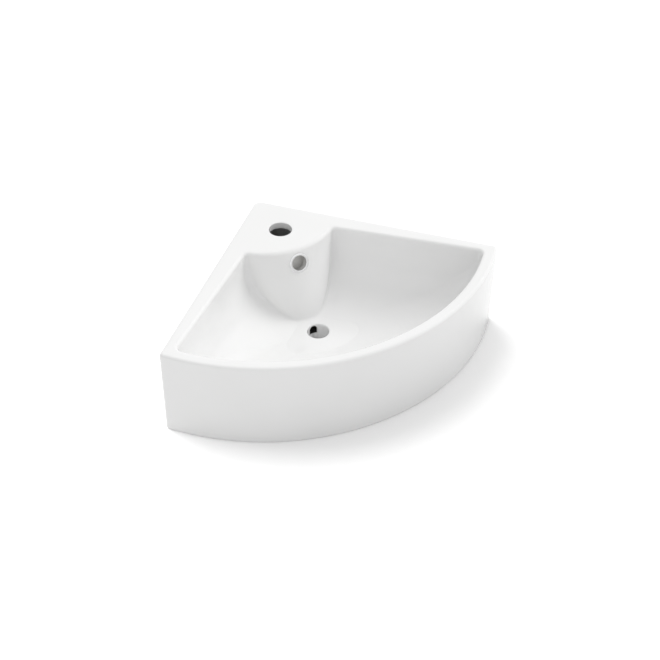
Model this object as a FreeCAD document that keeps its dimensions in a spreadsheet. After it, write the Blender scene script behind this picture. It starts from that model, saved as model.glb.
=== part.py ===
"""Corner basin: a fan-shaped washbasin of vitreous china that hangs in the corner of two walls.

The part frame has its origin on the floor plane, under the corner where the two wall faces would
meet. +Z is up and -Y runs from that corner to the middle of the round front, so the basin is
symmetric about the plane X = 0. Lengths are in millimetres.

"Reach" is a distance from the wall corner along the middle line, towards the front.
"Drop" is a distance below the flat top.
"""
import FreeCAD, Part
import math
import os

import Sketcher

DRIVING_SIZES = [
    # the china body
    ("wall_side", 330, "length of each side that stands against a wall"),
    ("body_height", 119, "height of the skirt, floor plane to flat top"),
    ("front_centre", 40, "reach of the centre of the round front"),
    ("back_corner_round", 10, "radius of the upright edge in the wall corner"),
    ("front_corner_round", 5, "radius of the two upright edges beside the front"),
    ("top_edge_round", 4, "radius along the outer top edge"),
    ("skirt_wall", 10, "thickness of the skirt and of the wall faces"),
    ("foot_edge_round", 2, "radius along the outer lower edge"),
    ("deck_thickness", 9, "thickness of the tap deck"),
    ("cavity_round", 14, "radius of the upright corners of the hollow underside"),
    # the bowl
    ("rim_front", 14, "width of the rim at the middle of the round front"),
    ("rim_centre", 47.5, "reach of the centre of the bowl's round front"),
    ("rim_side_end", 14, "width of the side rim where it meets the front"),
    ("rim_side_deck", 27, "width of the side rim where it meets the deck"),
    ("deck_corner", 116, "length of wall beside the deck, to the bowl's back corner"),
    ("nose_reach", 123, "reach of the deck's front edge at the top"),
    ("nose_foot", 158, "reach of the nose where it meets the waste seat"),
    ("bowl_depth", 92, "drop of the waste seat"),
    ("bowl_wall", 9, "thickness of the bowl"),
    ("rim_lip", 4, "radius of the bowl's top edge"),
    ("end_round", 8, "radius in plan of the bowl's front corners, at the top"),
    ("end_spread", 60, "how much that radius grows towards the bottom"),
    ("valley_round", 6, "radius in plan of the bowl's back corners, at the top"),
    ("valley_spread", 20, "how much that radius grows towards the bottom"),
    # the waste hole
    ("waste_reach", 183, "reach of the waste hole"),
    ("waste_bore", 28, "diameter of the waste hole"),
    ("waste_lip", 2, "radius of the waste hole's top edge"),
    ("waste_foot", 2, "height of the waste boss above the floor plane"),
    ("boss_wall", 12, "thickness of the boss around the waste hole"),
    # the tap hole
    ("tap_reach", 75, "reach of the tap hole"),
    ("tap_bore", 30, "diameter of the tap hole"),
    ("tap_lip", 1, "radius of the tap hole's top edge"),
    # the overflow
    ("overflow_drop", 18, "drop of the overflow hole on the nose"),
    ("overflow_bore", 24, "diameter of the overflow hole in the china"),
    ("port_width", 11, "width of the overflow port in the waste hole"),
    ("port_cover", 2.5, "china left above the port"),
    ("port_sill", 10, "china left below the port"),
    ("duct_depth", 7, "clear depth of the overflow duct"),
    ("duct_width", 26, "clear width of the overflow duct"),
    ("duct_wall", 4, "thickness of the overflow duct"),
    ("ring_flange", 26, "outer diameter of the overflow ring"),
    ("ring_rise", 1.8, "thickness of the overflow ring's flange"),
    ("ring_seat", 0.8, "depth that the flange is let into the china"),
    ("ring_bore", 19.6, "clear opening of the overflow ring"),
    ("ring_collar", 21.8, "outer diameter of the ring's collar"),
    ("ring_length", 7, "length of the ring's collar"),
    ("grip_gap", 0.1, "clearance on each side of the rubber grip"),
    # the wall fixings
    ("fixing_reach", 88, "distance of a fixing from the wall corner, along the wall"),
    ("fixing_height", 80, "height of a fixing above the floor plane"),
    ("stud_size", 10, "thread diameter of a wall stud"),
    ("stud_outside", 12, "length of stud that enters the wall anchor"),
    ("stud_spare", 5, "length of stud that shows past its nut"),
    ("neck_width", 1.5, "width of the neck between a stud's two threads, at the wall face"),
    ("neck_depth", 0.6, "depth of that neck"),
    ("stud_gap", 0.25, "clearance between a stud and what it passes through"),
    ("thread_gap", 0.05, "clearance between a stud's thread and its nut"),
    ("sleeve_wall", 1.8, "thickness of a nylon sleeve"),
    ("sleeve_gap", 0.25, "clearance between a sleeve and the china"),
    ("sleeve_flange", 24, "diameter of a sleeve's flange"),
    ("sleeve_rise", 2.5, "thickness of a sleeve's flange"),
    ("washer_size", 20, "diameter of a washer"),
    ("washer_rise", 2, "thickness of a washer"),
    ("nut_flats", 17, "width of a nut across its flats"),
    ("nut_rise", 8, "thickness of a nut"),
    ("edge_break", 1, "bevel on studs and nuts"),
]

BOWL_SECTIONS = 11        # outlines from the rim to the waste seat
LIP_SECTIONS = 6          # outlines around the rim's rounded edge
LIP_TURN = math.radians(78)    # how far those outlines go round before they run out
SEAT_SHARE = 0.28         # the outline around the waste seat, as a share of the rim outline
LEAST_BULGE = 0.4         # the nose never turns hollow
PAST = 1.0                # how far a cut runs past the face that it breaks through

doc = FreeCAD.newDocument("corner_basin")


# ---------------------------------------------------------------- sizes

def make_sheet():
    """Write the driving dimensions to a spreadsheet, one alias to a row."""
    sheet = doc.addObject("Spreadsheet::Sheet", "Sizes")
    for row, (alias, value, meaning) in enumerate(DRIVING_SIZES, start=1):
        sheet.set("A%d" % row, alias)
        sheet.set("B%d" % row, str(value))
        sheet.set("C%d" % row, meaning)
        sheet.setAlias("B%d" % row, alias)
    doc.recompute()
    return sheet


sheet = make_sheet()


def size(alias):
    """Read one driving dimension back from the sheet."""
    return float(sheet.get(alias))


WALL_DROP = "(Sizes.wall_side / sqrt(2))"
FRONT_RADIUS = "sqrt({0} ^ 2 + ({0} - Sizes.front_centre) ^ 2)".format(WALL_DROP)
NOSE_TAN = "((Sizes.nose_foot - Sizes.nose_reach) / Sizes.bowl_depth)"
SEAT_HEIGHT = "(Sizes.body_height - Sizes.bowl_depth)"
OVERFLOW_HEIGHT = "(Sizes.body_height - Sizes.overflow_drop)"
OVERFLOW_REACH = "(Sizes.nose_reach + {0} * Sizes.overflow_drop)".format(NOSE_TAN)
SLEEVE_BORE = "(Sizes.stud_size + 2 * Sizes.stud_gap)"
SLEEVE_SIZE = "({0} + 2 * Sizes.sleeve_wall)".format(SLEEVE_BORE)
FIXING_BORE = "({0} + 2 * Sizes.sleeve_gap)".format(SLEEVE_SIZE)
NUT_FOOT = "(Sizes.skirt_wall + Sizes.sleeve_rise + Sizes.washer_rise)"


def front_radius():
    """Radius of the round front: it ends exactly at the ends of the two wall faces."""
    drop = size("wall_side") / math.sqrt(2)
    return math.hypot(drop, drop - size("front_centre"))


# ---------------------------------------------------------------- helpers

def bind(thing, expressions):
    """Tie properties of an object to the sheet."""
    for name, expression in expressions.items():
        thing.setExpression(name, expression)


def new_body(label):
    """Start a body whose label will name the sub-part."""
    body = doc.addObject("PartDesign::Body", label)
    body.Label = label
    return body


def new_sketch(body, name, role):
    """Attach an empty sketch to one of the body's own origin planes."""
    sketch = body.newObject("Sketcher::SketchObject", name)
    plane = next(feature for feature in body.Origin.OriginFeatures if feature.Role == role)
    sketch.AttachmentSupport = [(plane, "")]
    sketch.MapMode = "FlatFace"
    return sketch


def dimension(sketch, expression, *constraint):
    """Add a dimension and tie it to the sheet; the first value only starts the solver."""
    number = sketch.addConstraint(Sketcher.Constraint(*constraint))
    sketch.setExpression("Constraints[%d]" % number, expression)


def place_corner(sketch, line, across, along):
    """Fix a line's first point at (across, along); either may be zero."""
    point = sketch.getPoint(line, 1)
    for axis, kind, expression, value in ((-2, "DistanceX", across, point.x),
                                          (-1, "DistanceY", along, point.y)):
        if expression == "0":
            sketch.addConstraint(Sketcher.Constraint("PointOnObject", line, 1, axis))
        else:
            dimension(sketch, expression, kind, -1, 1, line, 1, value)


def polygon(sketch, corners):
    """Draw a closed outline; each corner is (x, y, x expression, y expression)."""
    count = len(corners)
    for here, there in zip(corners, corners[1:] + corners[:1]):
        start = FreeCAD.Vector(here[0], here[1], 0)
        end = FreeCAD.Vector(there[0], there[1], 0)
        sketch.addGeometry(Part.LineSegment(start, end))
    for line in range(count):
        sketch.addConstraint(Sketcher.Constraint("Coincident", line, 2, (line + 1) % count, 1))
    for line, corner in enumerate(corners):
        place_corner(sketch, line, corner[2], corner[3])


def pad(body, sketch, expression):
    """Pad a sketch upwards by a bound length."""
    feature = body.newObject("PartDesign::Pad", sketch.Name + "_pad")
    feature.Profile = sketch
    feature.Length = 10
    feature.setExpression("Length", expression)
    sketch.Visibility = False
    return feature


def revolve(body, sketch):
    """Turn a sketch once around the body's Z axis."""
    feature = body.newObject("PartDesign::Revolution", sketch.Name + "_turned")
    axis = next(item for item in body.Origin.OriginFeatures if item.Role == "Z_Axis")
    feature.Profile = sketch
    feature.ReferenceAxis = (axis, [""])
    feature.Angle = 360
    return feature


def edges_where(shape, test):
    """Name the edges of a shape that pass a test."""
    return ["Edge%d" % number for number, edge in enumerate(shape.Edges, start=1) if test(edge)]


def is_upright(edge):
    """Tell whether an edge is a straight line along Z."""
    box = edge.BoundBox
    return box.ZLength > 1 and box.XLength < 0.01 and box.YLength < 0.01


def round_edges(body, name, base, edges, expression):
    """Round edges of a body's newest feature by a bound radius."""
    feature = body.newObject("PartDesign::Fillet", name)
    feature.Base = (base, edges)
    feature.Radius = 1
    feature.setExpression("Radius", expression)
    doc.recompute()
    return feature


def bevel_edges(body, name, base, edges, expression):
    """Bevel edges of a body's newest feature by a bound size."""
    feature = body.newObject("PartDesign::Chamfer", name)
    feature.Base = (base, edges)
    feature.Size = 0.5
    feature.setExpression("Size", expression)
    doc.recompute()
    return feature


def cylinder(name, radius, height, expressions):
    """A cylinder along its own Z with bound sizes and place."""
    tool = doc.addObject("Part::Cylinder", name)
    bind(tool, {"Radius": radius, "Height": height})
    bind(tool, expressions)
    return tool


def cut(name, base, tool):
    """Take one object away from another, leaving the seams between its faces as they fall."""
    result = doc.addObject("Part::Cut", name)
    result.Base = base
    result.Tool = tool
    result.Refine = False
    result.Label = name
    return result


def join(name, shapes):
    """Fuse several objects to one."""
    result = doc.addObject("Part::MultiFuse", name)
    result.Shapes = shapes
    return result


def mirror_copy(name, source):
    """Mirror an object across the basin's middle plane."""
    copy = doc.addObject("Part::Mirroring", name)
    copy.Source = source
    copy.Base = FreeCAD.Vector(0, 0, 0)
    copy.Normal = FreeCAD.Vector(1, 0, 0)
    return copy


# ---------------------------------------------------------------- the china block

def fan_sketch(body, name, inset):
    """Draw the fan plan, moved inwards by an inset that is the name of a size, or None."""
    sketch = new_sketch(body, name, "XY_Plane")
    gap = size(inset) if inset else 0.0
    radius = front_radius() - gap
    centre = FreeCAD.Vector(0, -size("front_centre"), 0)
    corner = FreeCAD.Vector(0, -gap * math.sqrt(2), 0)
    # where the sloping wall line through the corner meets the front
    lead = corner.y - centre.y
    side = (lead + math.sqrt(2 * radius ** 2 - lead ** 2)) / 2
    right = FreeCAD.Vector(side, corner.y - side, 0)
    left = FreeCAD.Vector(-side, corner.y - side, 0)
    sketch.addGeometry(Part.LineSegment(corner, right))
    sketch.addGeometry(Part.LineSegment(left, corner))
    start = math.atan2(left.y - centre.y, left.x) + 2 * math.pi
    end = math.atan2(right.y - centre.y, right.x) + 2 * math.pi
    circle = Part.Circle(centre, FreeCAD.Vector(0, 0, 1), radius)
    sketch.addGeometry(Part.ArcOfCircle(circle, start, end))
    sketch.addConstraint(Sketcher.Constraint("Coincident", 1, 2, 0, 1))
    sketch.addConstraint(Sketcher.Constraint("Coincident", 2, 1, 1, 1))
    sketch.addConstraint(Sketcher.Constraint("Coincident", 2, 2, 0, 2))
    sketch.addConstraint(Sketcher.Constraint("Perpendicular", 0, 1))
    sketch.addConstraint(Sketcher.Constraint("Symmetric", 0, 2, 1, 1, -2))
    dimension(sketch, "-Sizes.front_centre", "DistanceY", -1, 1, 2, 3, centre.y)
    if inset:
        place = "-Sizes.%s * sqrt(2)" % inset
        sketch.addConstraint(Sketcher.Constraint("PointOnObject", 0, 1, -2))
        dimension(sketch, place, "DistanceY", -1, 1, 0, 1, corner.y)
        dimension(sketch, "%s - Sizes.%s" % (FRONT_RADIUS, inset), "Radius", 2, radius)
    else:
        sketch.addConstraint(Sketcher.Constraint("Coincident", 0, 1, -1, 1))
        dimension(sketch, "Sizes.wall_side", "Distance", 0, size("wall_side"))
    doc.recompute()
    return sketch


def make_block():
    """The outer form: a fan-shaped block with its upright, top and lower edges rounded."""
    body = new_body("china_block")
    block = pad(body, fan_sketch(body, "fan_plan", None), "Sizes.body_height")
    doc.recompute()
    near_corner = size("wall_side") / 10
    back = edges_where(block.Shape, lambda e: is_upright(e) and e.CenterOfMass.y > -near_corner)
    rounded = round_edges(body, "back_corner", block, back, "Sizes.back_corner_round")
    front = edges_where(rounded.Shape, lambda e: is_upright(e)
                        and abs(e.CenterOfMass.x) > size("wall_side") / 2)
    front = [name for name in front if not smooth_edge(rounded.Shape, name)]
    rounded = round_edges(body, "front_corners", rounded, front, "Sizes.front_corner_round")
    top = edges_where(rounded.Shape, lambda e: e.BoundBox.ZMin > size("body_height") - 0.01)
    rounded = round_edges(body, "top_edge", rounded, top, "Sizes.top_edge_round")
    foot = edges_where(rounded.Shape, lambda e: e.BoundBox.ZMax < 0.01)
    round_edges(body, "foot_edge", rounded, foot, "Sizes.foot_edge_round")
    return body


def smooth_edge(shape, name):
    """Tell whether two faces meet without a corner along a named upright edge."""
    edge = shape.getElement(name)
    middle = edge.CenterOfMass
    normals = []
    for face in shape.ancestorsOfType(edge, Part.Face):
        u, v = face.Surface.parameter(middle)
        normals.append(face.normalAt(u, v))
    return len(normals) == 2 and normals[0].getAngle(normals[1]) < 0.05


def make_cavity():
    """The open hollow behind the skirt and under the deck, before the bowl fills its part."""
    body = new_body("underside")
    height = "Sizes.body_height - Sizes.deck_thickness"
    block = pad(body, fan_sketch(body, "cavity_plan", "skirt_wall"), height)
    doc.recompute()
    upright = edges_where(block.Shape, is_upright)
    round_edges(body, "cavity_corners", block, upright, "Sizes.cavity_round")
    return body


# ---------------------------------------------------------------- the bowl

def corner_arc(start, along, inward, centre, radius, small, keep_inside):
    """Round the corner between a straight side and an arc.

    The side runs from start in the unit direction along, with the bowl on the side that inward
    points to. The arc has its own centre and radius, and the bowl lies inside or outside it.
    Returns where the rounding touches the side, its middle, and where it touches the arc.
    """
    offset = start + inward * small
    reach = radius - small if keep_inside else radius + small
    towards = offset - centre
    half = towards.dot(along)
    root = math.sqrt(half ** 2 - towards.dot(towards) + reach ** 2)
    middle = offset + along * (root - half)
    on_side = middle - inward * small
    spoke = middle - centre
    spoke.normalize()
    on_arc = centre + spoke * radius
    bisector = (on_side + on_arc) * 0.5 - middle
    bisector.normalize()
    return on_side, middle + bisector * small, on_arc


def bowl_outline(share, depth, drop, growth):
    """One level outline of the bowl.

    The rim's outline is drawn in towards the waste hole by a share. Depth, from 0 at the rim to 1
    at the very bottom, sets how soft the corners are. Drop is how far the outline lies below the
    top, and growth moves it outwards all round.
    """
    waste = FreeCAD.Vector(0, -size("waste_reach"), 0)

    def drawn_in(point):
        return waste + (point - waste) * share

    def off_wall(along, away):
        """A plan point given by its distance along the right wall and away from it."""
        return FreeCAD.Vector(along - away, -along - away, 0) * math.sqrt(0.5)

    deck_end = off_wall(size("deck_corner"), size("rim_side_deck"))
    front_end = off_wall(size("wall_side"), size("rim_side_end"))
    along = front_end - deck_end
    along.normalize()
    inward = FreeCAD.Vector(along.y, -along.x, 0)
    side = drawn_in(deck_end) - inward * growth

    front = drawn_in(FreeCAD.Vector(0, -size("rim_centre"), 0))
    inner_reach = size("front_centre") + front_radius() - size("rim_front")
    front_size = (inner_reach - size("rim_centre")) * share + growth

    slope = (size("nose_foot") - size("nose_reach")) / size("bowl_depth")
    tip = -size("nose_reach") - slope * min(drop, size("bowl_depth"))
    valley = drawn_in(deck_end)
    bulge = max(valley.y - tip, LEAST_BULGE)
    nose_size = (valley.x ** 2 + bulge ** 2) / (2 * bulge)
    nose = FreeCAD.Vector(0, valley.y - bulge + nose_size, 0)
    nose_size = nose_size - growth

    end_round = (size("end_round") + size("end_spread") * depth ** 2) * share + growth
    valley_round = (size("valley_round") + size("valley_spread") * depth ** 2) * share + growth
    end = corner_arc(side, along, inward, front, front_size, end_round, True)
    back = corner_arc(side, along, inward, nose, nose_size, valley_round, False)
    return outline_wire(end, back, front, front_size, nose, nose_size, size("body_height") - drop)


def outline_wire(end, back, front, front_size, nose, nose_size, height):
    """Join a right-hand end and back corner, and their mirror images, to a closed wire."""
    def raised(point, sign=1):
        return FreeCAD.Vector(sign * point.x, point.y, height)

    front_middle = raised(front + FreeCAD.Vector(0, -front_size, 0))
    nose_middle = raised(nose + FreeCAD.Vector(0, -nose_size, 0))
    end_side, end_middle, end_arc = end
    back_side, back_middle, back_arc = back
    edges = [
        Part.Arc(raised(back_arc), nose_middle, raised(back_arc, -1)),
        Part.Arc(raised(back_arc, -1), raised(back_middle, -1), raised(back_side, -1)),
        Part.LineSegment(raised(back_side, -1), raised(end_side, -1)),
        Part.Arc(raised(end_side, -1), raised(end_middle, -1), raised(end_arc, -1)),
        Part.Arc(raised(end_arc, -1), front_middle, raised(end_arc)),
        Part.Arc(raised(end_arc), raised(end_middle), raised(end_side)),
        Part.LineSegment(raised(end_side), raised(back_side)),
        Part.Arc(raised(back_side), raised(back_middle), raised(back_arc)),
    ]
    return Part.Wire([edge.toShape() for edge in edges])


def bowl_solid(name, growth):
    """The bowl as a solid, grown all round: share ^ 2 + depth ^ 3 = 1 gives its profile."""
    deepest = (1 - SEAT_SHARE ** 2) ** (1 / 3)
    full_depth = (size("bowl_depth") + growth) / deepest
    last_turn = math.acos(SEAT_SHARE)
    outlines = []
    for number in range(BOWL_SECTIONS):
        turn = last_turn * number / (BOWL_SECTIONS - 1)
        depth = math.sin(turn) ** (2 / 3)
        outlines.append(bowl_outline(math.cos(turn), depth, depth * full_depth, growth))
    feature = doc.addObject("Part::Feature", name)
    feature.Shape = Part.makeLoft(outlines, True, False)
    return feature


def lip_solid(name):
    """What the rounded top edge of the bowl leaves free, in narrow straight bands.

    The last band leans inwards, so that it runs out through the bowl's own side.
    """
    radius = size("rim_lip")
    outlines = []
    for number in range(LIP_SECTIONS):
        turn = LIP_TURN * number / (LIP_SECTIONS - 1)
        drop = radius * (1 - math.cos(turn))
        outlines.append(bowl_outline(1.0, 0.0, drop, radius * (1 - math.sin(turn))))
    outlines.append(bowl_outline(1.0, 0.0, 2 * radius, -radius / 6))
    feature = doc.addObject("Part::Feature", name)
    feature.Shape = Part.makeLoft(outlines, True, True)
    return feature


# ---------------------------------------------------------------- holes in the china

def trumpet(name, bore, lip, top, centre):
    """A round hole's widened mouth: the space above a rounded edge."""
    body = new_body(name)
    sketch = new_sketch(body, name + "_profile", "XZ_Plane")
    inner = size(bore) / 2
    radius = size(lip)
    lift = PAST
    start = FreeCAD.Vector(inner, -radius, 0)
    rim = FreeCAD.Vector(inner + radius, 0, 0)
    above = FreeCAD.Vector(inner + radius, lift, 0)
    circle = Part.Circle(FreeCAD.Vector(inner + radius, -radius, 0),
                         FreeCAD.Vector(0, 0, 1), radius)
    sketch.addGeometry(Part.LineSegment(FreeCAD.Vector(0, -radius, 0), start))
    sketch.addGeometry(Part.ArcOfCircle(circle, math.radians(90), math.radians(180)))
    sketch.addGeometry(Part.LineSegment(rim, above))
    sketch.addGeometry(Part.LineSegment(above, FreeCAD.Vector(0, lift, 0)))
    sketch.addGeometry(Part.LineSegment(FreeCAD.Vector(0, lift, 0),
                                        FreeCAD.Vector(0, -radius, 0)))
    for pair in ((0, 2, 1, 2), (1, 1, 2, 1), (2, 2, 3, 1), (3, 2, 4, 1), (4, 2, 0, 1)):
        sketch.addConstraint(Sketcher.Constraint("Coincident", *pair))
    for line, kind in ((0, "Horizontal"), (2, "Vertical"), (3, "Horizontal"), (4, "Vertical")):
        sketch.addConstraint(Sketcher.Constraint(kind, line))
    sketch.addConstraint(Sketcher.Constraint("PointOnObject", 4, 1, -2))
    sketch.addConstraint(Sketcher.Constraint("PointOnObject", 1, 1, -1))
    sketch.addConstraint(Sketcher.Constraint("Vertical", 1, 3, 1, 1))
    dimension(sketch, "Sizes.%s" % lip, "Radius", 1, radius)
    dimension(sketch, "Sizes.%s / 2" % bore, "Distance", 0, inner)
    sketch.addConstraint(Sketcher.Constraint("DistanceY", -1, 1, 2, 2, lift))
    doc.recompute()
    revolve(body, sketch)
    bind(body, {"Placement.Base.y": centre, "Placement.Base.z": top})
    return body


def make_port():
    """The arched port that lets the overflow duct out into the waste hole."""
    spring = "(%s - Sizes.port_cover - Sizes.port_width / 2)" % SEAT_HEIGHT
    sill = "(Sizes.waste_foot + Sizes.port_sill)"
    length = "(Sizes.waste_reach - Sizes.nose_foot + Sizes.bowl_wall + 2 * Sizes.edge_break)"
    body = new_body("overflow_port")
    sketch = new_sketch(body, "port_arch", "XZ_Plane")
    half = size("port_width") / 2
    low = value(sill)
    high = value(spring)
    corners = [(-half, high), (-half, low), (half, low), (half, high)]
    points = [FreeCAD.Vector(x, y, 0) for x, y in corners]
    for here, there in zip(points, points[1:]):
        sketch.addGeometry(Part.LineSegment(here, there))
    circle = Part.Circle(FreeCAD.Vector(0, high, 0), FreeCAD.Vector(0, 0, 1), half)
    sketch.addGeometry(Part.ArcOfCircle(circle, 0, math.pi))
    for pair in ((0, 2, 1, 1), (1, 2, 2, 1), (2, 2, 3, 1), (0, 1, 3, 2)):
        sketch.addConstraint(Sketcher.Constraint("Coincident", *pair))
    for line, kind in ((0, "Vertical"), (1, "Horizontal"), (2, "Vertical")):
        sketch.addConstraint(Sketcher.Constraint(kind, line))
    sketch.addConstraint(Sketcher.Constraint("Symmetric", 0, 1, 2, 2, -2))
    dimension(sketch, spring, "DistanceY", -1, 1, 3, 3, high)
    dimension(sketch, sill, "DistanceY", -1, 1, 1, 1, low)
    dimension(sketch, "Sizes.port_width / 2", "Radius", 3, half)
    sketch.addConstraint(Sketcher.Constraint("Symmetric", 3, 1, 3, 2, 3, 3))
    doc.recompute()
    pad(body, sketch, length)
    bind(body, {"Placement.Base.y": "%s - Sizes.waste_reach" % length})
    return body


def face_the_bowl(thing, sunk):
    """Set an object's Z axis square to the nose at the overflow, sunk below its face."""
    lean = "atan(%s)" % NOSE_TAN
    thing.Placement.Rotation = FreeCAD.Rotation(FreeCAD.Vector(1, 0, 0), 65)
    bind(thing, {
        "Placement.Rotation.Angle": "90 deg - " + lean,
        "Placement.Base.y": "-%s + (%s) * cos(%s)" % (OVERFLOW_REACH, sunk, lean),
        "Placement.Base.z": "%s - (%s) * sin(%s)" % (OVERFLOW_HEIGHT, sunk, lean),
    })


def make_holes():
    """List the tools for every hole, seat and port in the china."""
    overall = "Sizes.body_height"
    tap = cylinder("tap_hole", "Sizes.tap_bore / 2", overall,
                   {"Placement.Base.y": "-Sizes.tap_reach"})
    tap_mouth = trumpet("tap_mouth", "tap_bore", "tap_lip", "Sizes.body_height",
                        "-Sizes.tap_reach")
    waste = cylinder("waste_hole", "Sizes.waste_bore / 2", overall,
                     {"Placement.Base.y": "-Sizes.waste_reach"})
    waste_mouth = trumpet("waste_mouth", "waste_bore", "waste_lip", SEAT_HEIGHT,
                          "-Sizes.waste_reach")
    through = "Sizes.bowl_wall + Sizes.duct_depth"
    overflow = cylinder("overflow_hole", "Sizes.overflow_bore / 2",
                        through + " + Sizes.bowl_wall", {})
    face_the_bowl(overflow, through)
    seat = cylinder("ring_recess", "Sizes.ring_flange / 2 + Sizes.grip_gap",
                    "Sizes.ring_seat + Sizes.bowl_wall", {})
    face_the_bowl(seat, "Sizes.ring_seat")
    fixing = cylinder("fixing_hole", FIXING_BORE + " / 2", "Sizes.skirt_wall * 2", {})
    face_the_room(fixing, "-Sizes.skirt_wall / 2")
    mirrored = mirror_copy("fixing_hole_left", fixing)
    return [tap, tap_mouth, waste, waste_mouth, overflow, seat, fixing, mirrored, make_port()]


def face_the_room(thing, depth):
    """Set an object's Z axis square to the right wall, its foot at a depth behind the face."""
    along = FreeCAD.Rotation(FreeCAD.Vector(0, 0, 1), 45)
    level = FreeCAD.Rotation(FreeCAD.Vector(1, 0, 0), 90)
    flip = FreeCAD.Rotation(FreeCAD.Vector(0, 0, 1), -90)
    thing.Placement.Rotation = flip.multiply(along).multiply(level)
    bind(thing, {
        "Placement.Base.x": "(Sizes.fixing_reach - (%s)) / sqrt(2)" % depth,
        "Placement.Base.y": "-(Sizes.fixing_reach + (%s)) / sqrt(2)" % depth,
        "Placement.Base.z": "Sizes.fixing_height",
    })


def make_basin_body(shell, boss):
    """The slip-cast china body: skirt, deck, rim and bowl in one piece."""
    solid_parts = join("bowl_and_boss", [shell, boss])
    hollow = cut("hollow", make_cavity(), solid_parts)
    blank = cut("blank", make_block(), hollow)
    china = cut("dished", blank, bowl_solid("bowl_space", 0.0))
    china = cut("lipped", china, lip_solid("lip_space"))
    for tool in make_holes():
        china = cut("china_less_" + tool.Name, china, tool)
    china.Label = "basin_body"
    return china


def make_boss():
    """The thick ring of china around the waste hole, which the waste clamps on."""
    height = "%s - Sizes.waste_foot - Sizes.waste_lip" % SEAT_HEIGHT
    return cylinder("waste_boss", "Sizes.waste_bore / 2 + Sizes.boss_wall", height, {
        "Placement.Base.y": "-Sizes.waste_reach",
        "Placement.Base.z": "Sizes.waste_foot",
    })


# ---------------------------------------------------------------- the overflow

def duct_profile(body, name, wall, floor, front):
    """Side view of the duct, behind the sloping nose and down to the waste boss."""
    sketch = new_sketch(body, name, "YZ_Plane")
    top = "(Sizes.body_height - Sizes.deck_thickness)"
    back = "(Sizes.bowl_wall + Sizes.duct_depth + %s)" % wall
    upper = "(Sizes.nose_reach + %s * Sizes.deck_thickness - %s)" % (NOSE_TAN, back)
    lower = "(Sizes.nose_foot - %s)" % back
    corners = [
        ("-" + upper, top),
        ("-" + lower, SEAT_HEIGHT),
        ("-" + lower, floor),
        ("-" + front, floor),
        ("-" + front, SEAT_HEIGHT),
        ("-(Sizes.nose_reach + %s * Sizes.deck_thickness)" % NOSE_TAN, top),
    ]
    polygon(sketch, [(value(x), value(y), x, y) for x, y in corners])
    doc.recompute()
    return sketch


def value(expression):
    """Work an expression out with the sheet's present numbers."""
    return float(sheet.evalExpression(expression.replace("Sizes.", "")))


def make_duct(shell, boss):
    """The cast hood that is stuck behind the nose and leads the overflow to the waste hole."""
    front = "Sizes.waste_reach"
    hood = new_body("duct_hood")
    width = "(Sizes.duct_width + 2 * Sizes.duct_wall)"
    floor = "(Sizes.waste_foot + Sizes.port_sill)"
    outer = duct_profile(hood, "hood_side", "Sizes.duct_wall", floor + " - Sizes.duct_wall", front)
    both_ways(pad(hood, outer, width))
    channel = new_body("duct_channel")
    inner = duct_profile(channel, "channel_side", "0", floor, front)
    both_ways(pad(channel, inner, "Sizes.duct_width"))
    filled = join("behind_the_duct", [shell, boss, channel])
    return cut("overflow_duct", hood, filled)


def both_ways(feature):
    """Let a pad grow evenly to both sides of its sketch."""
    feature.SideType = "Symmetric"


def ring_profile(body, name, points):
    """Draw a turned piece's half section from (radius, height) expressions."""
    sketch = new_sketch(body, name, "XZ_Plane")
    polygon(sketch, [(value(x), value(y), x, y) for x, y in points])
    doc.recompute()
    return sketch


def make_overflow_ring():
    """The bright trim ring: a thin rounded flange with a collar that plugs into the china."""
    body = new_body("overflow_ring")
    outer = "Sizes.ring_flange / 2"
    bore = "Sizes.ring_bore / 2"
    collar = "Sizes.ring_collar / 2"
    sketch = ring_profile(body, "ring_section", [
        (bore, "-Sizes.ring_length"), (collar, "-Sizes.ring_length"), (collar, "0"),
        (outer, "0"), (outer, "Sizes.ring_rise"), (bore, "Sizes.ring_rise"),
    ])
    ring = revolve(body, sketch)
    doc.recompute()
    top = edges_where(ring.Shape, lambda e: abs(e.CenterOfMass.z - size("ring_rise")) < 0.01
                      and e.BoundBox.ZLength < 0.01)
    round_edges(body, "ring_rounding", ring, top, "Sizes.ring_rise * 0.45")
    face_the_bowl(body, "Sizes.ring_seat")
    return body


def make_ring_grip():
    """The soft sleeve that grips between the ring's collar and the china."""
    body = new_body("overflow_ring_grip")
    inner = "(Sizes.ring_collar / 2 + Sizes.grip_gap)"
    outer = "(Sizes.overflow_bore / 2 - Sizes.grip_gap)"
    foot = "(Sizes.edge_break - Sizes.ring_length)"
    sketch = ring_profile(body, "grip_section", [
        (inner, foot), (outer, foot), (outer, "-Sizes.grip_gap"), (inner, "-Sizes.grip_gap"),
    ])
    revolve(body, sketch)
    face_the_bowl(body, "Sizes.ring_seat")
    return body


# ---------------------------------------------------------------- the wall fixings

def turned_piece(name, inner, outer, foot, top):
    """A plain ring along the fixing's axis, from foot to top."""
    body = new_body(name)
    points = [(inner, foot), (outer, foot), (outer, top), (inner, top)]
    revolve(body, ring_profile(body, name + "_section", points))
    doc.recompute()
    return body


def pair(name, body):
    """Put a fixing piece into the right wall and its mirror image into the left one."""
    face_the_room(body, "0")
    both = doc.addObject("Part::Compound", name)
    both.Links = [body, mirror_copy(name + "_left", body)]
    both.Label = name
    return both


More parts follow.
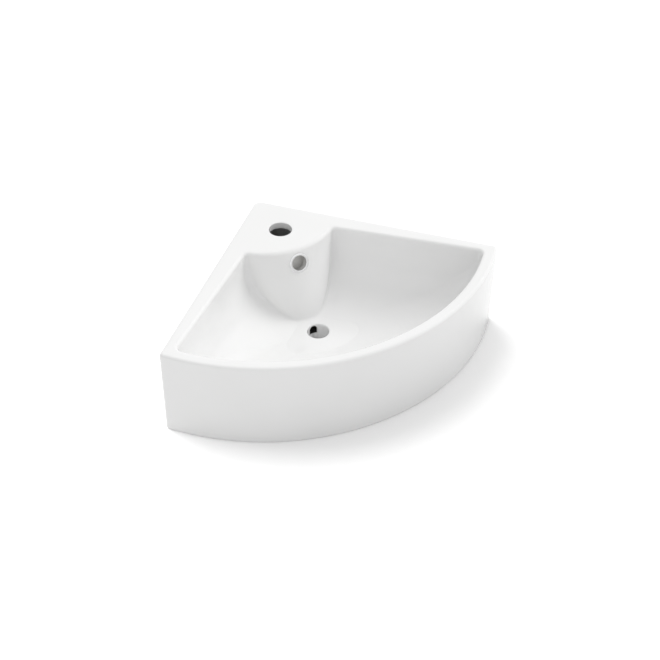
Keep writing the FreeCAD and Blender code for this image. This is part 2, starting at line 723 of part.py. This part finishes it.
def make_studs():
    """Studs with an anchor thread, a neck at the wall face and a thread for the nut."""
    top = "(%s + Sizes.nut_rise + Sizes.stud_spare)" % NUT_FOOT
    outer = "Sizes.stud_size / 2"
    neck = "(Sizes.stud_size / 2 - Sizes.neck_depth)"
    body = new_body("stud")
    sketch = ring_profile(body, "stud_section", [
        ("0", "-Sizes.stud_outside"), (outer, "-Sizes.stud_outside"),
        (outer, "-Sizes.neck_width"), (neck, "-Sizes.neck_width"), (neck, "0"), (outer, "0"),
        (outer, top), ("0", top),
    ])
    stud = revolve(body, sketch)
    doc.recompute()
    box = stud.Shape.BoundBox
    ends = edges_where(stud.Shape, lambda e: e.BoundBox.ZLength < 0.01 and len(e.Vertexes) == 1
                       and (e.BoundBox.ZMax < box.ZMin + 0.1 or e.BoundBox.ZMin > box.ZMax - 0.1))
    bevel_edges(body, "stud_ends", stud, ends, "Sizes.edge_break")
    return pair("wall_studs", body)


def make_sleeves():
    """Nylon sleeves that keep each stud off the china, flanged inside the cavity."""
    body = new_body("sleeve")
    inner = SLEEVE_BORE + " / 2"
    outer = SLEEVE_SIZE + " / 2"
    flange = "Sizes.sleeve_flange / 2"
    top = "(Sizes.skirt_wall + Sizes.sleeve_rise)"
    sketch = ring_profile(body, "sleeve_section", [
        (inner, "Sizes.edge_break"), (outer, "Sizes.edge_break"), (outer, "Sizes.skirt_wall"),
        (flange, "Sizes.skirt_wall"), (flange, top), (inner, top),
    ])
    revolve(body, sketch)
    return pair("stud_sleeves", body)


def make_washers():
    """Plain washers between the sleeves and the nuts."""
    foot = "(Sizes.skirt_wall + Sizes.sleeve_rise)"
    body = turned_piece("washer", SLEEVE_BORE + " / 2", "Sizes.washer_size / 2", foot, NUT_FOOT)
    return pair("stud_washers", body)


def make_nuts():
    """Hexagon nuts, tightened from below through the open underside."""
    body = new_body("nut")
    sketch = new_sketch(body, "nut_plan", "XY_Plane")
    across = size("nut_flats") / 2
    tip = across / math.cos(math.radians(30))
    points = [FreeCAD.Vector(tip * math.cos(math.radians(60 * side)),
                             tip * math.sin(math.radians(60 * side)), 0) for side in range(6)]
    for here, there in zip(points, points[1:] + points[:1]):
        sketch.addGeometry(Part.LineSegment(here, there))
    for side in range(6):
        sketch.addConstraint(Sketcher.Constraint("Coincident", side, 2, (side + 1) % 6, 1))
    guide = sketch.addGeometry(Part.Circle(FreeCAD.Vector(0, 0, 0),
                                           FreeCAD.Vector(0, 0, 1), tip), True)
    sketch.addConstraint(Sketcher.Constraint("Coincident", guide, 3, -1, 1))
    for side in range(6):
        sketch.addConstraint(Sketcher.Constraint("PointOnObject", side, 1, guide))
    for side in range(1, 6):
        sketch.addConstraint(Sketcher.Constraint("Equal", 0, side))
    sketch.addConstraint(Sketcher.Constraint("PointOnObject", 0, 1, -1))
    dimension(sketch, "Sizes.nut_flats / (2 * cos(30 deg))", "Radius", guide, tip)
    hole = sketch.addGeometry(Part.Circle(FreeCAD.Vector(0, 0, 0),
                                          FreeCAD.Vector(0, 0, 1), size("stud_size") / 2))
    sketch.addConstraint(Sketcher.Constraint("Coincident", hole, 3, -1, 1))
    dimension(sketch, "Sizes.stud_size / 2 + Sizes.thread_gap", "Radius", hole,
              size("stud_size") / 2)
    doc.recompute()
    sketch.AttachmentOffset = FreeCAD.Placement()
    sketch.setExpression("AttachmentOffset.Base.z", NUT_FOOT)
    pad(body, sketch, "Sizes.nut_rise")
    return pair("stud_nuts", body)


# ---------------------------------------------------------------- the assembly

def make_assembly():
    """Build every sub-part; the label of each is the name of its file."""
    shell = bowl_solid("bowl_shell", size("bowl_wall"))
    boss = make_boss()
    return [
        make_basin_body(shell, boss),
        make_duct(shell, boss),
        make_overflow_ring(),
        make_ring_grip(),
        make_studs(),
        make_sleeves(),
        make_washers(),
        make_nuts(),
    ]


def check(pieces):
    """Stop if anything in the document failed or a sub-part is not a sound shape."""
    failed = [item.Name for item in doc.Objects if {"Invalid", "Error"} & set(item.State)]
    if failed:
        raise RuntimeError("failed objects: " + ", ".join(failed))
    for piece in pieces:
        if piece.Shape.isNull() or not piece.Shape.isValid():
            raise RuntimeError("unsound shape: " + piece.Label)


def write(pieces):
    """Write one file for each sub-part."""
    os.makedirs("parts", exist_ok=True)
    for piece in pieces:
        shape = piece.Shape
        shape.exportStep(os.path.join("parts", piece.Label + ".step"))
        print("%-20s %d solid(s) %10.0f mm3" % (piece.Label, len(shape.Solids), shape.Volume))


pieces = make_assembly()
doc.recompute()
check(pieces)
write(pieces)
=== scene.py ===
# %% [markdown]
# # A corner basin in white vitreous china
#
# The real object is a small fan-shaped washbasin that hangs in the corner of two walls. It is cast
# in one piece from liquid clay, dipped in white glaze and fired. The bright ring is the trim of
# the overflow, and under the deck two studs hold the basin to the walls.
#
# All the shapes come from the measured frame. This scene gives them their finishes, a floor, soft
# light and the camera, so each step below is about how a surface is made, not how it is modelled.

import math

import bpy
from mathutils import Matrix, Vector

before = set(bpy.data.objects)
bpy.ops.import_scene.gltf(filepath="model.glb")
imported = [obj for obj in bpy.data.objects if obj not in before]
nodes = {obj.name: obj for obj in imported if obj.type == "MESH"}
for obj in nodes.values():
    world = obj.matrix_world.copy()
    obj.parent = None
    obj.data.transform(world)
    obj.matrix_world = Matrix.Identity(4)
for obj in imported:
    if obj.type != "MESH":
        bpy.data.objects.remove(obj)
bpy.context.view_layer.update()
print("pieces in the frame:", sorted(nodes))


# %% [markdown]
# ## The camera
#
# The photograph looks down into the bowl from the front left. Its view was worked out from the
# edges of the basin: the two straight wall sides meet at a right angle, and the round front is
# part of a circle, so the lines of the photograph fix where the camera stood and how long its lens
# was. The camera could be aimed with a constraint, but a plain matrix is clearer here, because the
# photograph is also turned by a small angle.

# %% Camera at the photograph's viewing angle
EYE = Vector((-0.5676, -1.2764, 1.0726))
LOOK = Vector((0.3599, 0.6726, -0.6465)).normalized()
LENS_MM = 68.18
SENSOR_MM = 36.0
ROLL = math.radians(0.747)

level_right = LOOK.cross(Vector((0, 0, 1))).normalized()
level_up = level_right.cross(LOOK)
right = math.cos(ROLL) * level_right + math.sin(ROLL) * level_up
up = -math.sin(ROLL) * level_right + math.cos(ROLL) * level_up

camera_data = bpy.data.cameras.new("camera")
camera_data.lens = LENS_MM
camera_data.sensor_width = SENSOR_MM
camera = bpy.data.objects.new("camera", camera_data)
axes = Matrix((right, up, -LOOK)).transposed()
camera.matrix_world = Matrix.Translation(EYE) @ axes.to_4x4()
bpy.context.scene.collection.objects.link(camera)
bpy.context.scene.camera = camera
print("camera stands", round(EYE.length, 3), "m from the wall corner")


# %% [markdown]
# ## A small language for finishes
#
# A finish is a tree of shader nodes. Adding every node and link by hand takes ten lines for one
# sum, so one class wraps a node's output and lets Python's own signs add the Math nodes, as in
# `ripple * 0.9 + speck * 0.1`. Anything else, such as a noise or a light path, comes from one
# method that takes the node's type, its settings and its inputs. The same tree class serves the
# materials and the world, so that both are written in one way.

# %% Sockets that work like numbers
class Wire:
    """One output of a shader node that can be added to and multiplied."""

    def __init__(self, tree, socket):
        self.tree = tree
        self.socket = socket

    def maths(self, operation, other):
        """Join this output and another value in one Math node."""
        return self.tree.node("ShaderNodeMath", {"operation": operation}, {0: self, 1: other})

    def __add__(self, other):
        return self.maths("ADD", other)

    def __mul__(self, other):
        return self.maths("MULTIPLY", other)

    __radd__ = __add__
    __rmul__ = __mul__


print("wires ready")


# %% A tree of nodes
class Tree:
    """The node tree of a material or of the world."""

    def __init__(self, owner, last):
        owner.use_nodes = True
        self.owner = owner
        self.node_tree = owner.node_tree
        self.last = self.node_tree.nodes[last]

    def node(self, kind, settings=None, inputs=None, output=0):
        """Add a node: its settings first, then the values or wires of its inputs."""
        made = self.node_tree.nodes.new(kind)
        for name, setting in (settings or {}).items():
            setattr(made, name, setting)
        for name, given in (inputs or {}).items():
            self.feed(made.inputs[name], given)
        return Wire(self, made.outputs[output])

    def feed(self, socket, given):
        """Link a wire to a socket, or set a plain value on it."""
        if isinstance(given, Wire):
            self.node_tree.links.new(given.socket, socket)
        elif isinstance(given, tuple) and socket.type == "RGBA":
            socket.default_value = (*given, 1)
        else:
            socket.default_value = given

    def set(self, **given):
        """Set inputs of the last shader; an underscore stands for a space."""
        for name, value in given.items():
            self.feed(self.last.inputs[name.replace("_", " ")], value)


print("trees ready")


# %% A finish with the few patterns that this object needs
# A Mix node has a set of sockets for each kind of value. These are the ones for colours.
MIX_SHARE, MIX_FIRST, MIX_SECOND, MIX_RESULT = 0, 6, 7, 2


class Finish(Tree):
    """A material with one Principled shader."""

    def __init__(self, name):
        super().__init__(bpy.data.materials.new(name), "Principled BSDF")

    def place(self):
        """Where on the object a point lies, in metres."""
        return self.node("ShaderNodeTexCoord", output="Object")

    def along(self, axis):
        """One coordinate of that place: X, Y or Z."""
        return self.node("ShaderNodeSeparateXYZ", None, {0: self.place()}, output=axis)

    def noise(self, scale, detail, rough=0.5, where=None):
        """A cloudy pattern between 0 and 1; scale counts its blobs to the metre."""
        inputs = {"Vector": where or self.place(), "Scale": scale,
                  "Detail": detail, "Roughness": rough}
        return self.node("ShaderNodeTexNoise", None, inputs)

    def spread(self, wire, given, wanted):
        """Stretch one range of values smoothly onto another."""
        inputs = {"Value": wire, "From Min": given[0], "From Max": given[1],
                  "To Min": wanted[0], "To Max": wanted[1]}
        return self.node("ShaderNodeMapRange", {"interpolation_type": "SMOOTHSTEP"}, inputs)

    def mix(self, share, first, second):
        """Blend two colours."""
        inputs = {MIX_SHARE: share, MIX_FIRST: first, MIX_SECOND: second}
        return self.node("ShaderNodeMix", {"data_type": "RGBA"}, inputs, output=MIX_RESULT)

    def bump(self, height, distance, strength):
        """Turn a height pattern into a normal; distance is its height in metres."""
        inputs = {"Height": height, "Distance": distance, "Strength": strength}
        return self.node("ShaderNodeBump", None, inputs)


print("finishes ready")


# %% [markdown]
# ## White glaze
#
# Sanitary glaze is a layer of white glass about half a millimetre thick. Up close it is never a
# perfect mirror: it flowed while it was melted and keeps very low, wide ripples, and the white
# varies by a hair where the layer is thinner. The gloss itself could be a plain low roughness, but
# the glass also has its own reflection over the duller clay, so a coat is laid over a softer base.
#
# The photograph shows a black spot in the waste hole. It is taken for the overflow's port, whose
# walls are painted near black as painted shade for the dark inside of the duct. The port is a
# place on the body and not a piece of its own, so a mask made from the place finds it.

# %% Where the overflow port is
PORT_HALF_WIDTH = 0.0058
PORT_FRONT = -0.1685
PORT_BACK = -0.1460
PORT_TOP = 0.0250
SIDE_FADE = 0.0002
END_FADE = 0.001


def around(value, fade):
    """The narrow range over which a mask turns at a value."""
    return value - fade, value + fade


def port_shade_mask(glaze):
    """1 on the walls of the overflow port, where shade is painted, 0 elsewhere."""
    across = glaze.node("ShaderNodeMath", {"operation": "ABSOLUTE"}, {0: glaze.along("X")})
    narrow = glaze.spread(across, around(PORT_HALF_WIDTH, SIDE_FADE), (1.0, 0.0))
    behind = glaze.spread(glaze.along("Y"), around(PORT_FRONT, END_FADE), (0.0, 1.0))
    before = glaze.spread(glaze.along("Y"), around(PORT_BACK, END_FADE), (1.0, 0.0))
    low = glaze.spread(glaze.along("Z"), around(PORT_TOP, SIDE_FADE), (1.0, 0.0))
    return narrow * behind * before * low


print("port mask is", round(1000 * 2 * PORT_HALF_WIDTH, 1), "mm wide")


# %% Glaze on the china
def make_glaze():
    """Glossy white glaze with faint ripples, a slightly thinner layer in places, and painted shade
    in the port.
    """
    glaze = Finish("white_glaze")
    cloud = glaze.noise(9.0, detail=2.0)
    thin = glaze.spread(cloud, (0.35, 0.65), (0.0, 1.0))
    colour = glaze.mix(thin, (0.865, 0.866, 0.862), (0.880, 0.880, 0.878))
    # Painted shade: the walls of the overflow port are coloured near black for the shade inside
    # the duct.
    colour = glaze.mix(port_shade_mask(glaze), colour, (0.05, 0.048, 0.045))
    ripple, speck = glaze.noise(38.0, detail=1.5), glaze.noise(420.0, detail=1.0)
    relief = glaze.bump(ripple * 0.92 + speck * 0.08, distance=0.00025, strength=0.35)
    gloss = glaze.spread(cloud, (0.3, 0.7), (0.13, 0.17))
    glaze.set(Base_Color=colour, Roughness=gloss, Normal=relief)
    glaze.set(IOR=1.5, Coat_Weight=0.5, Coat_Roughness=0.05)
    return glaze.owner


glaze = make_glaze()
print("glaze:", glaze.name)


# %% [markdown]
# ## Bare china
#
# The overflow duct is cast by itself and stuck on before firing, and no glaze reaches it. Bare
# vitreous china is warm, matt and slightly grainy. The foot of the duct is painted near black as
# painted shade for the dark inside of the duct, with a gradient along the height.

# %% Unglazed china on the duct
# Heights where the painted shade in the duct is full and where it is gone.
DUCT_SHADE_FULL = 0.030
DUCT_SHADE_GONE = 0.050


def make_bare_china():
    """Matt white clay with a fine grain, and painted shade near the foot of the duct."""
    china = Finish("bare_china")
    stain = china.spread(china.noise(16.0, detail=4.0), (0.35, 0.7), (0.0, 1.0))
    colour = china.mix(stain, (0.86, 0.85, 0.83), (0.82, 0.805, 0.78))
    # Painted shade: the foot of the duct is coloured near black, darker towards the bottom, for
    # the shade inside it.
    painted_duct_shade = china.spread(china.along("Z"), (DUCT_SHADE_FULL, DUCT_SHADE_GONE), (1.0, 0.0))
    colour = china.mix(painted_duct_shade, colour, (0.10, 0.095, 0.085))
    grain = china.noise(900.0, detail=2.0)
    china.set(Base_Color=colour, Roughness=china.spread(grain, (0.3, 0.7), (0.72, 0.88)))
    china.set(Normal=china.bump(grain, distance=0.0002, strength=0.6))
    return china.owner


bare_china = make_bare_china()
print("bare china:", bare_china.name)


# %% [markdown]
# ## Bright plating
#
# The overflow ring is moulded plastic or brass with a bright plated skin. It mirrors the white
# bowl around it, so most of it reads as light grey. Wiping leaves hair-fine marks, which only the
# roughness shows. They are a noise that is squeezed in two directions, so that they run along X.

# %% Plating on the overflow ring
SQUEEZE = (1.0, 14.0, 14.0)


def make_plating():
    """Polished plating with faint wiping marks."""
    plating = Finish("bright_plating")
    squeezed = plating.node("ShaderNodeVectorMath", {"operation": "MULTIPLY"},
                            {0: plating.place(), 1: SQUEEZE})
    marks = plating.noise(160.0, detail=2.0, rough=0.6, where=squeezed)
    dull = plating.spread(marks, (0.4, 0.75), (0.05, 0.16))
    plating.set(Base_Color=(0.90, 0.905, 0.91), Metallic=1.0, Roughness=dull)
    return plating.owner


plating = make_plating()
print("plating:", plating.name)


# %% [markdown]
# ## Small parts underneath
#
# Zinc-plated steel has a soft spangle and a cooler, duller gleam than plating on brass. The nylon
# sleeves are milky, with a slight sheen, and the rubber grip is almost black with a fine bloom.

# %% Zinc, nylon and rubber
def make_zinc():
    """Zinc-plated steel: grey, with cloudy patches of duller metal."""
    zinc = Finish("zinc_steel")
    patches = zinc.spread(zinc.noise(260.0, detail=3.0), (0.35, 0.7), (0.0, 1.0))
    zinc.set(Base_Color=zinc.mix(patches, (0.62, 0.63, 0.65), (0.50, 0.505, 0.51)))
    zinc.set(Metallic=1.0, Roughness=zinc.spread(patches, (0.0, 1.0), (0.28, 0.46)))
    return zinc.owner


def make_nylon():
    """Moulded nylon, milky and faintly uneven."""
    nylon = Finish("white_nylon")
    cloud = nylon.spread(nylon.noise(120.0, detail=2.0), (0.3, 0.7), (0.0, 1.0))
    skin = nylon.noise(1500.0, detail=1.0)
    nylon.set(Base_Color=nylon.mix(cloud, (0.82, 0.81, 0.77), (0.77, 0.755, 0.70)))
    nylon.set(Roughness=nylon.spread(cloud, (0.0, 1.0), (0.38, 0.5)))
    nylon.set(Normal=nylon.bump(skin, distance=0.00005, strength=0.5))
    return nylon.owner


def make_rubber():
    """Black rubber with a grey bloom."""
    rubber = Finish("dark_rubber")
    bloom = rubber.spread(rubber.noise(300.0, detail=3.0), (0.4, 0.75), (0.0, 1.0))
    skin = rubber.noise(1200.0, detail=1.0)
    rubber.set(Base_Color=rubber.mix(bloom, (0.030, 0.030, 0.031), (0.070, 0.069, 0.067)))
    rubber.set(Roughness=rubber.spread(bloom, (0.0, 1.0), (0.6, 0.8)))
    rubber.set(Normal=rubber.bump(skin, distance=0.00005, strength=0.6))
    return rubber.owner


zinc, nylon, rubber = make_zinc(), make_nylon(), make_rubber()
print("small finishes:", zinc.name, nylon.name, rubber.name)


# %% Dress every piece of the frame
FINISH_OF = {
    "basin_body": glaze,
    "overflow_duct": bare_china,
    "overflow_ring": plating,
    "overflow_ring_grip": rubber,
    "wall_studs": zinc,
    "stud_washers": zinc,
    "stud_nuts": zinc,
    "stud_sleeves": nylon,
}
for name, material in FINISH_OF.items():
    piece = nodes[name]
    piece.data.materials.clear()
    piece.data.materials.append(material)
    print("dressed", name, "with", material.name)


# %% [markdown]
# ## The floor
#
# The photograph shows the basin on pure white with a soft shadow. A plain white floor under soft
# light comes out light grey, and more light would burn out the basin too. So the floor has three
# colours, told apart by the kind of ray that looks at it: the camera sees a bright one that is
# white wherever nothing shades it, mirrors see a pale one, and as a source of bounced light it is
# a little darker still.

# %% Pale floor that keeps the shadow
FLOOR_SIZE = 6.0
FLOOR_DROP = 0.00002


def make_floor_finish():
    """A pale floor, white to the camera where nothing shades it."""
    pale_floor = Finish("pale_floor")
    grain = pale_floor.noise(6.0, detail=3.0)
    bounced = pale_floor.mix(grain, (0.73, 0.73, 0.73), (0.75, 0.75, 0.75))
    mirrored = pale_floor.node("ShaderNodeLightPath", output="Is Glossy Ray")
    seen = pale_floor.node("ShaderNodeLightPath", output="Is Camera Ray")
    colour = pale_floor.mix(mirrored, bounced, (0.80, 0.80, 0.80))
    pale_floor.set(Base_Color=pale_floor.mix(seen, colour, (0.98, 0.98, 0.98)))
    pale_floor.set(Emission_Color=pale_floor.mix(seen, (0, 0, 0), (0.07, 0.07, 0.07)))
    pale_floor.set(Roughness=0.6, Emission_Strength=1.0)
    return pale_floor.owner


bpy.ops.mesh.primitive_plane_add(size=FLOOR_SIZE, location=(0, 0, -FLOOR_DROP))
floor = bpy.context.object
floor.name = "floor"
floor.data.materials.append(make_floor_finish())
print("floor:", floor.name)


# %% [markdown]
# ## Light
#
# In the photograph the light comes softly from the right and from above: the left slope of the
# bowl is bright, the right slope lies in half shade, and the right end of the skirt is brighter
# than its front. A near area lamp would fade across the floor, so the lamps are far ones with a
# wide face, which give the same soft edges and light everything evenly. The key stays out of
# mirrors, where its round face would burn a white spot into the bowl.
#
# The photograph's shadow falls to the front and right, which a light from the right can't give. So
# the floor is lit by a lamp of its own, from behind, and the key leaves the floor out.

# %% Lamps
def add_lamp(name, turn, height, spread, strength):
    """A far lamp: its angle round from +X, its height angle and how wide it looks, in degrees."""
    data = bpy.data.lights.new(name, "SUN")
    data.angle = math.radians(spread)
    data.energy = strength
    lamp = bpy.data.objects.new(name, data)
    turn, height = math.radians(turn), math.radians(height)
    level = math.cos(height)
    source = Vector((level * math.cos(turn), level * math.sin(turn), math.sin(height)))
    lamp.rotation_euler = source.to_track_quat("Z", "Y").to_euler()
    bpy.context.scene.collection.objects.link(lamp)
    return lamp


def link_to_floor(lamp, state):
    """Keep a lamp to the floor (INCLUDE) or off the floor (EXCLUDE)."""
    chosen = bpy.data.collections.new(lamp.name + "_floor")
    chosen.objects.link(floor)
    chosen.collection_objects[0].light_linking.link_state = state
    lamp.light_linking.receiver_collection = chosen


key = add_lamp("key_right", turn=8.0, height=46.0, spread=32.0, strength=1.32)
key.visible_glossy = False
link_to_floor(key, "EXCLUDE")
floor_lamp = add_lamp("floor_lamp", turn=110.0, height=58.0, spread=40.0, strength=1.9)
link_to_floor(floor_lamp, "INCLUDE")
print("lamps:", key.name, floor_lamp.name)


# %% [markdown]
# ## The white room
#
# The world is a plain white room. To the camera, in mirrors and through glass it is pure white; as
# a light it is a quarter weaker, so that the glaze keeps its shading.

# %% World
ROOM_AS_LIGHT = 0.75
ROOM_SEEN = 1.0


def make_world():
    """White where it is seen, softer as a light."""
    world = Tree(bpy.data.worlds.new("studio"), "Background")
    seen = world.node("ShaderNodeLightPath", output="Is Camera Ray")
    for kind in ("Is Glossy Ray", "Is Transmission Ray"):
        seen = seen + world.node("ShaderNodeLightPath", output=kind)
    inputs = {"Value": seen, "To Min": ROOM_AS_LIGHT, "To Max": ROOM_SEEN}
    strength = world.node("ShaderNodeMapRange", None, inputs)
    world.set(Color=(1.0, 1.0, 1.0), Strength=strength)
    return world.owner


bpy.context.scene.world = make_world()
bpy.context.scene.view_settings.view_transform = "Standard"
print("world:", bpy.context.scene.world.name)
